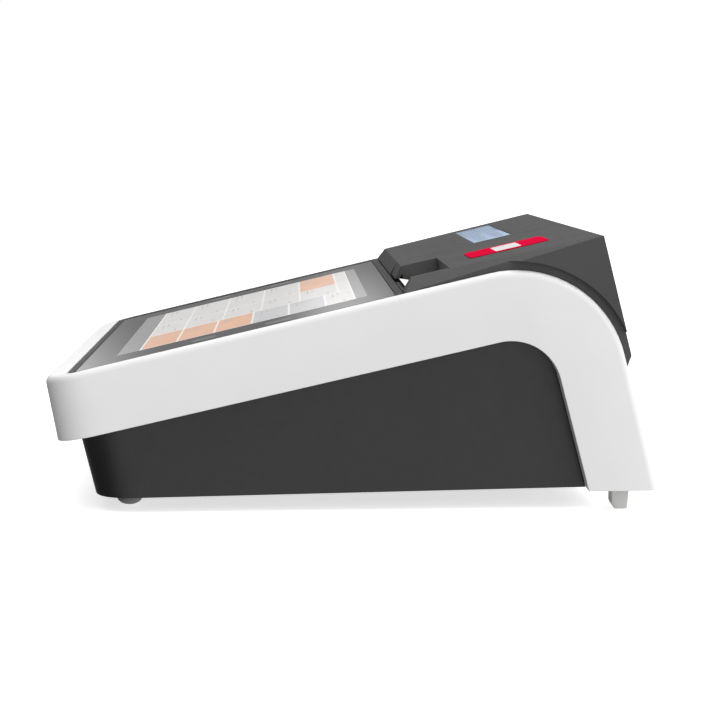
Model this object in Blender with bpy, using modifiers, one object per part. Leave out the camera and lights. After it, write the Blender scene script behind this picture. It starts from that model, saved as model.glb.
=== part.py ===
"""A compact touch-screen cash register: a white side frame that arches down into two rear legs, a dark
base, a sloping touch screen, and behind it a raised housing with a customer display and a receipt printer.

Metres, +Z up. The origin is on the ground at the centre of the footprint, +X is the cashier's right and +Y
points to the rear. The screen, the housing and the printer are modelled in the plane of the sloping deck:
x across, u up the slope from the screen's front edge, n square to the deck.
"""

from math import atan2, ceil, cos, hypot, pi, radians, sin, tan

import bmesh
import bpy
from mathutils import Matrix, Vector

MM = 0.001
GAP = 0.3 * MM  # between pieces that touch

# Deck
DECK_FRONT_Y, DECK_FRONT_Z = -129.6 * MM, 65.1 * MM
DECK_SLOPE = radians(13.27)
SCREEN_DEPTH = 157.2 * MM
GLASS = (108.0 * MM, 4.0 * MM, 153.5 * MM)  # half width, front and rear edges

# White frame, side view (y, z)
FRAME_HALF = 115 * MM
FRAME_WALL = 3 * MM
FRAME_INNER = FRAME_HALF - FRAME_WALL
FLANGE = 2.5 * MM
LIP, LIP_DEPTH = 3.0 * MM, 12 * MM
RIM_RADIUS = 3.2 * MM
CORNER_REACH = 24 * MM
CORNER_FULLNESS = 0.6  # 0.5 is a round corner, 1 is a square one
FRONT_TOP = (-141.0 * MM, 62.6 * MM)
REAR_TOP = (111.7 * MM, 122.0 * MM)
LEG_OUTER_FOOT = (141.0 * MM, 9.9 * MM)
LEG_INNER_FOOT = (109.0 * MM, 9.9 * MM)
ARCH_CORNER = (89.0 * MM, 84.2 * MM)
FRONT_BOTTOM = (-135.8 * MM, 33.2 * MM)
OUTER_ARCH_RADIUS = 52 * MM
INNER_ARCH_RADIUS = 23.6 * MM
LEG_INSIDE = 99 * MM
LEG_TOP = 64 * MM
LEG_SKIN = 2.5 * MM

# Dark base
CASING_HALF = 107 * MM
CASING_REAR_HALF = 98.6 * MM
CASING_WALL = 2.5 * MM
CASING_FRONT_TOP = (-128.6 * MM, 44.0 * MM)
CASING_FRONT_BOTTOM = (-119.8 * MM, 6.7 * MM)
CASING_REAR = 118 * MM
CASING_REAR_TOP = 63.5 * MM
CASING_CORNER = 23 * MM
BASE_SLOPE = radians(0.89)
FRONT_FOOT = (88 * MM, -104 * MM)
FRONT_FOOT_RADIUS = 6 * MM
REAR_FOOT = (107 * MM, 124.6 * MM)
PEG = (105.5 * MM, 3.6 * MM, 4.4 * MM)  # its middle and half widths along X and Y

# Printer housing, in the deck's plane (u, n)
HOUSING_FRONT = (157.7 * MM, 0.0)
HOUSING_FRONT_TOP = (162.7 * MM, 5.25 * MM)
HOUSING_REAR_TOP = (250.8 * MM, 4.7 * MM)
HOUSING_REAR_LOW = (252.3 * MM, -52.0 * MM)
HOUSING_REAR_FOOT = (248.9 * MM, -57.3 * MM)
HOUSING_HALF = 114.4 * MM
HOUSING_FRONT_HALF = 100.5 * MM
HOUSING_SKIN = 2.5 * MM
SKIRT_HALF = 111.6 * MM
RELIEF_STEP = 4 * MM

# Lid, paper and printer mechanism
LID_LEFT, LID_RIGHT, LID_RIGHT_REAR = 4.3 * MM, 100.0 * MM, 109.6 * MM
POCKET_LEFT, POCKET_RIGHT = 33.0 * MM, 96.4 * MM
LID_FRONT = 181.0 * MM
HINGE = (245.5 * MM, -1.2 * MM)
PIN_RADIUS = 1.25 * MM
BADGE_MIDDLE = (62.6 * MM, 212.6 * MM)
BADGE_HALF = (15.2 * MM, 19.3 * MM, 3 * MM)  # along x and u, and its corner radius
PAPER_CENTRE, PAPER_WIDTH = 64.5 * MM, 57.5 * MM
ROLL = (218.2 * MM, -22.8 * MM)
ROLL_RADIUS, CORE_RADIUS = 24 * MM, 8.5 * MM
PLATEN = (188.0 * MM, -7.0 * MM)
PLATEN_RADIUS, SHAFT_RADIUS = 5 * MM, 2 * MM
BORE_CLEAR = 0.08 * MM
HEAD_PIVOT = (181.5 * MM, -20.0 * MM)
HEAD_TOP = -12.9 * MM
GEAR_MODULE, GEAR_FACE = 0.6 * MM, (27.0 * MM, 30.6 * MM)
PLATEN_TEETH, IDLER_TEETH, PINION_TEETH = 20, 28, 14
IDLER_ANGLE, PINION_ANGLE = radians(-90), radians(-30)

# Rear sockets and switch
PORT_HEIGHT = 30 * MM
SWITCH_X, DC_X, LAN_X, USB_X, DRAWER_X = -74 * MM, -48 * MM, -24 * MM, 0.0, 24 * MM
ROCKER_TILT = radians(8)

PARTS = None
CUTTERS = None
DECK = None


# ---------------------------------------------------------------- scene and materials

def clear_scene():
    for obj in list(bpy.data.objects):
        bpy.data.objects.remove(obj, do_unlink=True)


def new_collection(name):
    collection = bpy.data.collections.new(name)
    bpy.context.scene.collection.children.link(collection)
    return collection


def material(name, colour, roughness, metallic=0.0, transmission=0.0):
    made = bpy.data.materials.new(name)
    made.use_nodes = True
    made.diffuse_color = (*colour, 1.0)
    shader = made.node_tree.nodes["Principled BSDF"]
    shader.inputs["Base Color"].default_value = (*colour, 1.0)
    shader.inputs["Roughness"].default_value = roughness
    shader.inputs["Metallic"].default_value = metallic
    shader.inputs["Transmission Weight"].default_value = transmission
    return made


# ---------------------------------------------------------------- plane geometry

def meet(line, other):
    """Where two lines, each a pair of points, cross."""
    (ax, ay), (bx, by) = line
    (cx, cy), (dx, dy) = other
    across = (bx - ax) * (dy - cy) - (by - ay) * (dx - cx)
    along = ((cx - ax) * (dy - cy) - (cy - ay) * (dx - cx)) / across
    return ax + along * (bx - ax), ay + along * (by - ay)


def shift(line, distance):
    """The line moved to its left by distance."""
    (ax, ay), (bx, by) = line
    length = hypot(bx - ax, by - ay)
    dx, dy = -(by - ay) / length * distance, (bx - ax) / length * distance
    return (ax + dx, ay + dy), (bx + dx, by + dy)


def at_height(line, z):
    return meet(line, ((0.0, z), (1.0, z)))


def rounded(corners, step=radians(6)):
    """An outline through corners (a, b) or (a, b, radius); each radius becomes an arc."""
    points = []
    for index, corner in enumerate(corners):
        if len(corner) == 2 or corner[2] == 0:
            points.append(tuple(corner[:2]))
            continue
        here, radius = Vector(corner[:2]), corner[2]
        before = (Vector(corners[index - 1][:2]) - here).normalized()
        after = (Vector(corners[(index + 1) % len(corners)][:2]) - here).normalized()
        half = before.angle(after) / 2
        centre = here + (before + after).normalized() * radius / sin(half)
        first = here + before * radius / tan(half) - centre
        turn = first.angle_signed(here + after * radius / tan(half) - centre)
        chords = max(2, ceil(abs(turn) / step))
        for chord in range(chords + 1):
            swing = Matrix.Rotation(-turn * chord / chords, 2)
            points.append(tuple(centre + swing @ first))
    return points


def off_deck(u, n):
    """Deck (u, n) as world (y, z)."""
    return (DECK_FRONT_Y + u * cos(DECK_SLOPE) - n * sin(DECK_SLOPE),
            DECK_FRONT_Z + u * sin(DECK_SLOPE) + n * cos(DECK_SLOPE))


def on_deck(y, z):
    """World (y, z) as deck (u, n)."""
    y, z = y - DECK_FRONT_Y, z - DECK_FRONT_Z
    return y * cos(DECK_SLOPE) + z * sin(DECK_SLOPE), z * cos(DECK_SLOPE) - y * sin(DECK_SLOPE)


# ---------------------------------------------------------------- solids

def add(name, mesh, paint=None, parent=None, cutter=False):
    obj = bpy.data.objects.new(name, mesh)
    (CUTTERS if cutter else PARTS).objects.link(obj)
    obj.parent = parent
    if cutter:
        obj.hide_render = True
        obj.display_type = "WIRE"
    elif paint:
        mesh.materials.append(paint)
    return obj


def mesh_from(bm, name, smooth=True):
    bmesh.ops.recalc_face_normals(bm, faces=bm.faces)
    mesh = bpy.data.meshes.new(name)
    bm.to_mesh(mesh)
    bm.free()
    if smooth:
        mesh.shade_smooth()
        mesh.set_sharp_from_angle(angle=radians(30))
    return mesh


def prism_bm(outline, low, high, plane="YZ"):
    """A flat outline drawn out from low to high along the plane's third axis."""
    seat = {"YZ": lambda a, b: (low, a, b), "XY": lambda a, b: (a, b, low), "XZ": lambda a, b: (a, low, b)}
    axis = {"YZ": (1, 0, 0), "XY": (0, 0, 1), "XZ": (0, 1, 0)}[plane]
    bm = bmesh.new()
    face = bm.faces.new([bm.verts.new(seat[plane](a, b)) for a, b in outline])
    grown = bmesh.ops.extrude_face_region(bm, geom=[face])["geom"]
    moved = [item for item in grown if isinstance(item, bmesh.types.BMVert)]
    bmesh.ops.translate(bm, vec=Vector(axis) * (high - low), verts=moved)
    return bm


def prism(name, outline, low, high, plane="YZ", **kind):
    return add(name, mesh_from(prism_bm(outline, low, high, plane), name), **kind)


def box(name, x, y, z, bevel=0.0, **kind):
    """A box between (low, high) limits on each axis, with rounded edges."""
    bm = bmesh.new()
    bmesh.ops.create_cube(bm, size=1)
    bmesh.ops.scale(bm, vec=(x[1] - x[0], y[1] - y[0], z[1] - z[0]), verts=bm.verts)
    bmesh.ops.translate(bm, vec=(sum(x) / 2, sum(y) / 2, sum(z) / 2), verts=bm.verts)
    if bevel:
        bmesh.ops.bevel(bm, geom=bm.edges, offset=bevel, segments=2, profile=0.5, affect="EDGES")
    return add(name, mesh_from(bm, name), **kind)


def bar(name, radius, x, centre, sides=24, **kind):
    """A round bar along X between two x limits, centred on (y, z)."""
    bm = bmesh.new()
    bmesh.ops.create_cone(bm, cap_ends=True, segments=sides, radius1=radius, radius2=radius, depth=x[1] - x[0])
    bmesh.ops.rotate(bm, matrix=Matrix.Rotation(pi / 2, 3, "Y"), verts=bm.verts)
    bmesh.ops.translate(bm, vec=(sum(x) / 2, *centre), verts=bm.verts)
    return add(name, mesh_from(bm, name), **kind)


def post(name, radius, z, centre, sides=20, **kind):
    """A round post along Z between two heights, centred on (x, y)."""
    bm = bmesh.new()
    bmesh.ops.create_cone(bm, cap_ends=True, segments=sides, radius1=radius, radius2=radius, depth=z[1] - z[0])
    bmesh.ops.translate(bm, vec=(*centre, sum(z) / 2), verts=bm.verts)
    return add(name, mesh_from(bm, name), **kind)


def turned(name, profile, steps=24, **kind):
    """A profile (radius, z) in millimetres, from the top down its outer side, turned about Z."""
    bm = bmesh.new()
    points = [bm.verts.new((radius * MM, 0, z * MM)) for radius, z in profile]
    for first, second in zip(points, points[1:]):
        bm.edges.new((first, second))
    mesh = bpy.data.meshes.new(name)
    bm.to_mesh(mesh)
    bm.free()
    obj = add(name, mesh, **kind)
    screw = obj.modifiers.new("turn", "SCREW")
    screw.steps = screw.render_steps = steps
    screw.use_merge_vertices = True
    screw.merge_threshold = 0.00001
    screw.use_smooth_shade = True
    return obj


def combine(target, other, operation="DIFFERENCE"):
    step = target.modifiers.new(f"{operation.lower()} {other.name}", "BOOLEAN")
    step.operation = operation
    step.object = other
    return target


def set_origin(obj, point):
    """Moves the object's origin to a point of its parent's space, and leaves its shape where it is."""
    obj.data.transform(Matrix.Translation(-Vector(point)))
    obj.location = point


# ---------------------------------------------------------------- white frame

UPPER = (FRONT_TOP, REAR_TOP)
LOWER = (FRONT_BOTTOM, ARCH_CORNER)
LEG_INNER = (ARCH_CORNER, LEG_INNER_FOOT)
LEG_OUTER = (REAR_TOP, LEG_OUTER_FOOT)
FRONT = (FRONT_BOTTOM, FRONT_TOP)


def round_uprights(bm, limit, reach, segments):
    """Rounds the upright edges that lie in front of y = limit, starting at reach from the corner."""
    uprights = [
        edge for edge in bm.edges
        if all(vert.co.y < limit for vert in edge.verts)
        and abs(edge.verts[0].co.x - edge.verts[1].co.x) < MM
    ]
    bmesh.ops.bevel(bm, geom=uprights, offset=reach, segments=segments, profile=CORNER_FULLNESS, affect="EDGES")


def frame_blank():
    """The full-width band, with round front corners and a round upper edge."""
    outline = rounded([
        FRONT_TOP, FRONT_BOTTOM, (*ARCH_CORNER, INNER_ARCH_RADIUS), LEG_INNER_FOOT, LEG_OUTER_FOOT,
        (*REAR_TOP, OUTER_ARCH_RADIUS)
    ], radians(5))
    bm = prism_bm(outline, -FRAME_HALF, FRAME_HALF)
    round_uprights(bm, FRONT_BOTTOM[0] + MM, CORNER_REACH, 10)
    bmesh.ops.recalc_face_normals(bm, faces=bm.faces)
    bm.normal_update()

    def faces_up(face):
        return face.normal.z > 0.2 and abs(face.normal.x) < 0.01

    foot = LEG_OUTER_FOOT[1] + MM / 10
    rim = [
        edge for edge in bm.edges
        if faces_up(edge.link_faces[0]) != faces_up(edge.link_faces[1])
        and max(vert.co.z for vert in edge.verts) > foot
    ]
    bmesh.ops.bevel(bm, geom=rim, offset=RIM_RADIUS, segments=4, profile=0.5, affect="EDGES")
    return bm


def make_frame(paint):
    frame = add("side_frame", mesh_from(frame_blank(), "side_frame"), paint)
    inner_front = shift(FRONT, -FRAME_WALL)
    inner_lower = shift(LOWER, FLANGE)
    inner_leg = shift(LEG_INNER, FLANGE)
    lip = (off_deck(0, -LIP), off_deck(LIP_DEPTH, -LIP))
    tray_bm = prism_bm(rounded([
        off_deck(LIP_DEPTH, 80 * MM), lip[1], meet(inner_front, lip), meet(inner_front, inner_lower),
        (*meet(inner_lower, inner_leg), INNER_ARCH_RADIUS + FLANGE),
        at_height(inner_leg, LEG_TOP), (170 * MM, LEG_TOP), (170 * MM, 160 * MM)
    ]), -FRAME_INNER, FRAME_INNER)
    round_uprights(tray_bm, FRONT_BOTTOM[0] + 2 * FRAME_WALL, CORNER_REACH - FRAME_WALL, 10)
    tray = add("frame_tray_cut", mesh_from(tray_bm, "frame_tray_cut"), cutter=True)
    opening = deck_slab("screen_opening_cut", FRAME_INNER, 0.1 * MM, 60 * MM, -LIP - MM, 80 * MM, 5.3 * MM,
                        cutter=True)
    well = casing_solid("frame_well_cut", CASING_HALF + GAP, CASING_REAR_HALF + GAP, -GAP, CASING_CORNER + GAP,
                        cutter=True)
    between = box("frame_rear_cut", (-LEG_INSIDE, LEG_INSIDE), (70 * MM, 170 * MM), (-5 * MM, 160 * MM),
                  cutter=True)
    for cutter in (tray, opening, well, between):
        combine(frame, cutter)
    hollow_inner, hollow_outer = shift(LEG_INNER, LEG_SKIN), shift(LEG_OUTER, -LEG_SKIN)
    for side in (-1, 1):
        low, high = sorted((side * (LEG_INSIDE + LEG_SKIN), side * (FRAME_HALF - LEG_SKIN)))
        hollow = prism(f"leg_hollow_cut_{side}", [
            at_height(hollow_inner, LEG_TOP - LEG_SKIN), at_height(hollow_inner, -5 * MM),
            at_height(hollow_outer, -5 * MM), at_height(hollow_outer, LEG_TOP - LEG_SKIN)
        ], low, high, cutter=True)
        combine(frame, hollow)


# ---------------------------------------------------------------- base, bottom cover, feet

def base_floor(y):
    """Height of the base's lower edge at y."""
    return CASING_FRONT_BOTTOM[1] + (y - CASING_FRONT_BOTTOM[0]) * tan(BASE_SLOPE)


def casing_solid(name, half, rear_half, inset, corner, **kind):
    front = shift((CASING_FRONT_BOTTOM, CASING_FRONT_TOP), -inset)
    floor = -5 * MM if inset else None
    leg = shift(LEG_INNER, -GAP - inset)
    low_front = at_height(front, floor) if inset else CASING_FRONT_BOTTOM
    foot = at_height(leg, floor if inset else base_floor(LEG_INNER_FOOT[0]))
    top = 20 * MM if inset else 0.0
    upper_rear = ARCH_CORNER[0] + (40 * MM if inset else 5 * MM)
    bm = prism_bm([
        low_front, foot, at_height(leg, LEG_TOP), (upper_rear, LEG_TOP + (GAP if inset else 8 * MM)),
        (upper_rear, 90.5 * MM + top), at_height(front, CASING_FRONT_TOP[1] + top)
    ], -half, half)
    round_uprights(bm, -100 * MM, corner, 9)
    solid = add(name, mesh_from(bm, name), **kind)
    rear = CASING_REAR - inset
    back = prism(f"{name}_back", [
        (80 * MM, floor if inset else base_floor(80 * MM)), (rear, floor if inset else base_floor(rear)),
        (rear, CASING_REAR_TOP + top), (80 * MM, CASING_REAR_TOP + top)
    ], -rear_half, rear_half, cutter=True)
    return combine(solid, back, "UNION")


def make_casing(paint):
    casing = casing_solid("base_casing", CASING_HALF, CASING_REAR_HALF, 0.0, CASING_CORNER, paint=paint)
    inside = casing_solid("base_casing_cut", CASING_HALF - CASING_WALL, CASING_REAR_HALF - CASING_WALL,
                          CASING_WALL, CASING_CORNER - CASING_WALL, cutter=True)
    combine(casing, inside)
    for name, x, width, height in (
        ("switch", SWITCH_X, 19.6, 13.6), ("dc", DC_X, 10.6, 12.6), ("lan", LAN_X, 16.6, 14.1),
        ("usb", USB_X, 15.6, 8.6), ("drawer", DRAWER_X, 14.1, 12.6)
    ):
        half_width, half_height = width / 2 * MM, height / 2 * MM
        hole = box(f"{name}_hole_cut", (x - half_width, x + half_width), (110 * MM, 125 * MM),
                   (PORT_HEIGHT - half_height, PORT_HEIGHT + half_height), cutter=True)
        combine(casing, hole)


COVER_SCREWS = ((-80, -88), (80, -88), (-80, 92), (80, 92))


def make_bottom_cover(paint, steel):
    half, rear_half = CASING_HALF - CASING_WALL - GAP, CASING_REAR_HALF - CASING_WALL - GAP
    front, step, rear = -116.3 * MM, 104.9 * MM, CASING_REAR - CASING_WALL - GAP
    outline = rounded([
        (-half, front, 20 * MM), (half, front, 20 * MM), (half, step), (rear_half, step), (rear_half, rear),
        (-rear_half, rear), (-rear_half, step), (-half, step)
    ], radians(15))
    cover = prism("bottom_cover", outline, 0.0, 2.2 * MM, "XY", paint=paint)
    cover.rotation_euler = (BASE_SLOPE, 0, 0)
    cover.location = (0, 0, base_floor(0) + 0.2 * MM)
    for row in range(8):
        y = (-30 + 8 * row) * MM
        combine(cover, box(f"vent_cut_{row}", (-32 * MM, 32 * MM), (y - 1.2 * MM, y + 1.2 * MM),
                           (-MM, 5 * MM), cutter=True, parent=cover))
    for number, (x, y) in enumerate(COVER_SCREWS, 1):
        for step, (radius, low, high) in enumerate(((1.8 * MM, -MM, 4 * MM), (3.3 * MM, -MM, 1.6 * MM))):
            combine(cover, post(f"screw_hole_cut_{number}_{step}", radius, (low, high), (x * MM, y * MM),
                                cutter=True, parent=cover))
        screw = turned(f"cover_screw_{number}", [
            (0, 9), (1.4, 9), (1.4, 1.2), (2.9, 1.2), (2.9, 0.4), (2.4, 0.1), (1.0, 0.1), (0.8, 0.9), (0, 0.9)
        ], 20, paint=steel, parent=cover)
        screw.location = (x * MM, y * MM, 0)


def make_feet(rubber, grey):
    x, y = FRONT_FOOT
    top = base_floor(y) - GAP / 3
    dome = [(0, top), (FRONT_FOOT_RADIUS, top)] + [
        (FRONT_FOOT_RADIUS * cos(angle), top * (0.55 - 0.55 * sin(angle)))
        for angle in (radians(90) * step / 6 for step in range(7))
    ]
    for side, hand in ((-1, "left"), (1, "right")):
        foot = turned(f"front_foot_{hand}", [(radius / MM, z / MM) for radius, z in dome], 24, paint=rubber)
        foot.location = (side * x, y, 0)
        make_rear_foot(f"rear_foot_{hand}", side, REAR_FOOT[1], grey)


def make_rear_foot(name, side, y, paint):
    """A plug that closes the leg's hollow, with the tapered peg that stands on the ground."""
    plug_inner, plug_outer = shift(LEG_INNER, LEG_SKIN + GAP), shift(LEG_OUTER, -LEG_SKIN - GAP)
    low, high = LEG_OUTER_FOOT[1] + 0.2 * MM, 18 * MM
    half = (FRAME_HALF - LEG_INSIDE) / 2 - LEG_SKIN - GAP
    x = side * REAR_FOOT[0]
    foot = prism(name, [
        at_height(plug_inner, low), at_height(plug_outer, low), at_height(plug_outer, high),
        at_height(plug_inner, high)
    ], x - half, x + half, paint=paint)
    middle, half_x, half_y = side * PEG[0], *PEG[1:]
    bm = prism_bm([
        (y - half_y, 12 * MM), (y - half_y + 0.2 * MM, 3.0 * MM), (y - half_y + 2.2 * MM, 0.0),
        (y + half_y - 0.8 * MM, 0.0), (y + half_y, 12 * MM)
    ], middle - half_x, middle + half_x)
    bmesh.ops.bevel(bm, geom=bm.edges, offset=0.9 * MM, segments=3, profile=0.5, affect="EDGES")
    combine(foot, add(f"{name}_peg", mesh_from(bm, name), cutter=True), "UNION")


# ---------------------------------------------------------------- screen

def deck_slab(name, half, front, rear, low, high, radius=0.0, **kind):
    """A plate in the deck's plane with four round corners."""
    outline = rounded([
        (-half, front, radius), (half, front, radius), (half, rear, radius), (-half, rear, radius)
    ], radians(15))
    return prism(name, outline, low, high, "XY", parent=DECK, **kind)


def make_screen(grey, glass, black, steel):
    bezel = deck_slab("screen_bezel", 111.6 * MM, 0.4 * MM, SCREEN_DEPTH, -4 * MM, -0.2 * MM, 5 * MM,
                      paint=grey)
    half, front, rear = GLASS
    seat = deck_slab("glass_seat_cut", half + GAP, front - GAP, rear + GAP, -2 * MM, MM, 2 * MM, cutter=True)
    window = deck_slab("panel_window_cut", 89.4 * MM, 13.6 * MM, 148.9 * MM, -9 * MM, MM, cutter=True)
    for cutter in (seat, window):
        combine(bezel, cutter)
    deck_slab("touch_glass", half, front, rear, -1.7 * MM, -0.4 * MM, 1.7 * MM, paint=glass)
    deck_slab("lcd_panel", 89 * MM, 14 * MM, 148.5 * MM, -6.6 * MM, -2.1 * MM, paint=black)
    bracket = deck_slab("display_bracket", 104 * MM, 6 * MM, 152 * MM, -8.1 * MM, -6.9 * MM, 4 * MM,
                        paint=steel)
    for side in (-1, 1):
        low, high = sorted((side * 98 * MM, side * 103 * MM))
        flange = box(f"bracket_flange_{side}", (low, high), (12 * MM, 146 * MM), (-7.5 * MM, -4.3 * MM),
                     cutter=True, parent=DECK)
        combine(bracket, flange, "UNION")


# ---------------------------------------------------------------- base contents

def make_boards(green, aluminium, black):
    box("main_board", (-72 * MM, 62 * MM), (-20 * MM, 99 * MM), (19 * MM, 20.6 * MM), paint=green)
    sink = box("processor_heatsink", (-50 * MM, -15 * MM), (-6 * MM, 30 * MM), (20.9 * MM, 35 * MM),
               paint=aluminium)
    for fin in range(6):
        left = (-47.3 + 5.4 * fin) * MM
        combine(sink, box(f"fin_gap_cut_{fin}", (left, left + 2.6 * MM), (-9 * MM, 33 * MM),
                          (24 * MM, 40 * MM), cutter=True))
    speaker = turned("speaker", [
        (0, 9), (8, 9), (9, 5), (20, 2), (20, 0), (0, 0)
    ], 24, paint=black)
    speaker.location = (72 * MM, -60 * MM, 12.5 * MM)


def port_body(name, x, width, height, mouth_width, mouth_height, depth, paint):
    """A socket behind the rear wall, open to the rear."""
    half_width, half_height = width / 2 * MM, height / 2 * MM
    body = box(name, (x - half_width, x + half_width), (CASING_REAR - depth, CASING_REAR - 0.2 * MM),
               (PORT_HEIGHT - half_height, PORT_HEIGHT + half_height), 0.4 * MM, paint=paint)
    half_width, half_height = mouth_width / 2 * MM, mouth_height / 2 * MM
    mouth = box(f"{name}_mouth_cut", (x - half_width, x + half_width), (CASING_REAR - depth + 2 * MM, 125 * MM),
                (PORT_HEIGHT - half_height, PORT_HEIGHT + half_height), cutter=True)
    return combine(body, mouth)


def make_ports(black, steel):
    port_body("lan_port", LAN_X, 16, 13.5, 12, 9, 15 * MM, steel)
    port_body("usb_port", USB_X, 15, 8, 12.4, 5.2, 14 * MM, steel)
    port_body("drawer_port", DRAWER_X, 13.5, 12, 10, 7.4, 13 * MM, black)
    inlet = port_body("dc_inlet", DC_X, 10, 12, 6.4, 6.4, 12 * MM, black)
    pin = turned("dc_inlet_pin", [(0, 9.5), (0.9, 9.5), (0.9, 0), (0, 0)], 12, cutter=True)
    pin.location = (DC_X, CASING_REAR - 11 * MM, PORT_HEIGHT)
    pin.rotation_euler = (-pi / 2, 0, 0)
    combine(inlet, pin, "UNION")


def make_switch(black):
    """The switch, and its rocker, which tilts about a vertical pivot and rests pressed to one side."""
    port_body("switch_housing", SWITCH_X, 19, 13, 16.2, 10.2, 12 * MM, black)
    rocker = prism("power_rocker", rounded([
        (-7.5 * MM, -2.5 * MM), (0.0, -6.0 * MM, 3 * MM), (7.5 * MM, -2.5 * MM), (7.5 * MM, 1.6 * MM, 0.6 * MM),
        (0.0, 0.6 * MM, 20 * MM), (-7.5 * MM, 1.6 * MM, 0.6 * MM)
    ], radians(15)), -4.7 * MM, 4.7 * MM, "XY", paint=black)
    rocker.location = (SWITCH_X, CASING_REAR - 2.2 * MM, PORT_HEIGHT)
    rocker.rotation_euler = (0, 0, -ROCKER_TILT)


# ---------------------------------------------------------------- printer housing

def profile(name, outline, low, high, **kind):
    """An outline in the deck's (u, n) plane, drawn out across the machine."""
    return prism(name, outline, low, high, "YZ", parent=DECK, **kind)


def top_surface(u):
    """Height n of the housing's top above the deck at u."""
    (front, high), (rear, low) = HOUSING_FRONT_TOP, HOUSING_REAR_TOP
    return high + (low - high) * (u - front) / (rear - front)


def housing_outline(inset):
    """Side outline of the housing's outer surface, or of its inside when inset; deck (u, n) points."""
    shell = [HOUSING_FRONT, (HOUSING_FRONT[0], -7 * MM), on_deck(84 * MM, 93 * MM), on_deck(98 * MM, 66 * MM),
             HOUSING_REAR_FOOT, HOUSING_REAR_LOW, HOUSING_REAR_TOP, HOUSING_FRONT_TOP]
    if not inset:
        return shell
    sides = [shift((shell[index], shell[(index + 1) % len(shell)]), inset) for index in range(len(shell))]
    return [meet(sides[index - 1], sides[index]) for index in range(len(sides))]


def side_wedge(name, side):
    """What the sloping side takes off the housing, wider towards the front."""
    low_front = Vector((SKIRT_HALF, *HOUSING_FRONT))
    high_front = Vector((HOUSING_FRONT_HALF, *HOUSING_FRONT_TOP))
    high_rear = Vector((HOUSING_HALF + GAP, *HOUSING_REAR_TOP))
    normal = (high_front - low_front).cross(high_rear - low_front).normalized()
    if normal.x < 0:
        normal.negate()
    bm = bmesh.new()
    size = 350 * MM
    bmesh.ops.create_cube(bm, size=size)
    bmesh.ops.translate(bm, vec=(0, 0, size / 2), verts=bm.verts)
    bmesh.ops.rotate(bm, matrix=Vector((0, 0, 1)).rotation_difference(normal).to_matrix(), verts=bm.verts)
    bmesh.ops.translate(bm, vec=low_front, verts=bm.verts)
    if side < 0:
        bmesh.ops.scale(bm, vec=(-1, 1, 1), verts=bm.verts)
    return add(name, mesh_from(bm, name), parent=DECK, cutter=True)


def make_housing(paint):
    housing = profile("printer_housing", housing_outline(0), -HOUSING_HALF, HOUSING_HALF, paint=paint)
    inside = profile("housing_inside_cut", housing_outline(HOUSING_SKIN), -100 * MM, 100 * MM, cutter=True)
    wide = profile("housing_wide_cut", [
        (165 * MM, -2 * MM), (150 * MM, -2 * MM), (150 * MM, -12 * MM), on_deck(80 * MM, 93 * MM),
        on_deck(94 * MM, 60 * MM), on_deck(115 * MM, 60 * MM), on_deck(115 * MM, 68.5 * MM),
        (HOUSING_REAR_FOOT[0] - HOUSING_SKIN, -53 * MM), (HOUSING_REAR_TOP[0] - HOUSING_SKIN, 2 * MM),
        (215 * MM, 2 * MM)
    ], -108.8 * MM, 108.8 * MM, cutter=True)
    for cutter in (inside, wide, side_wedge("right_slope_cut", 1), side_wedge("left_slope_cut", -1)):
        combine(housing, cutter)
    relief = arch_relief_outline()
    for side in (-1, 1):
        low, high = sorted((side * SKIRT_HALF, side * 130 * MM))
        combine(housing, prism(f"arch_relief_cut_{side}", relief, low, high, cutter=True))
    combine(housing, lid_opening("lid_opening_cut", -2.4 * MM, 20 * MM, 150 * MM))
    combine(housing, lid_opening("lid_lip_cut", -9.9 * MM, 0, 236 * MM))
    combine(housing, box("display_window_cut", (-98.7 * MM, -2.3 * MM), (204.6 * MM, 225.0 * MM),
                         (-5 * MM, 12 * MM), cutter=True, parent=DECK))
    ear = box("pin_ear", (1.0 * MM, 3.6 * MM), (241 * MM, 248.5 * MM), (-4.5 * MM, 4 * MM),
              cutter=True, parent=DECK)
    combine(housing, ear, "UNION")
    combine(housing, bar("pin_hole_cut", PIN_RADIUS + BORE_CLEAR, (0.0, 111.4 * MM), HINGE,
                         cutter=True, parent=DECK))


def arch_relief_outline():
    """World (y, z) outline of the step between the housing's side and the frame's arch."""
    upper, outer = shift(UPPER, RELIEF_STEP), shift(LEG_OUTER, RELIEF_STEP)
    corner = meet(upper, outer)
    return rounded([
        upper[0], (-100 * MM, 0.0), at_height(outer, 0.0), (*corner, OUTER_ARCH_RADIUS + RELIEF_STEP)
    ], radians(5))


def lid_opening(name, low, high, front):
    """Plan of the lid's opening, from front to beyond the rear, drawn out square to the deck."""
    clear = 0.4 * MM
    left, right, rear_right = LID_LEFT - clear, LID_RIGHT + clear, LID_RIGHT_REAR + clear
    step = LID_FRONT - clear
    if front > step:
        outline = [(left, front), (rear_right, front), (rear_right, 262 * MM), (left, 262 * MM)]
    else:
        outline = [(left, front), (POCKET_RIGHT, front), (POCKET_RIGHT, step), (right, step),
                   (rear_right, HOUSING_REAR_TOP[0]), (rear_right, 262 * MM), (left, 262 * MM)]
    return prism(name, outline, low, high, "XY", parent=DECK, cutter=True)


# ---------------------------------------------------------------- lid

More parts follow.
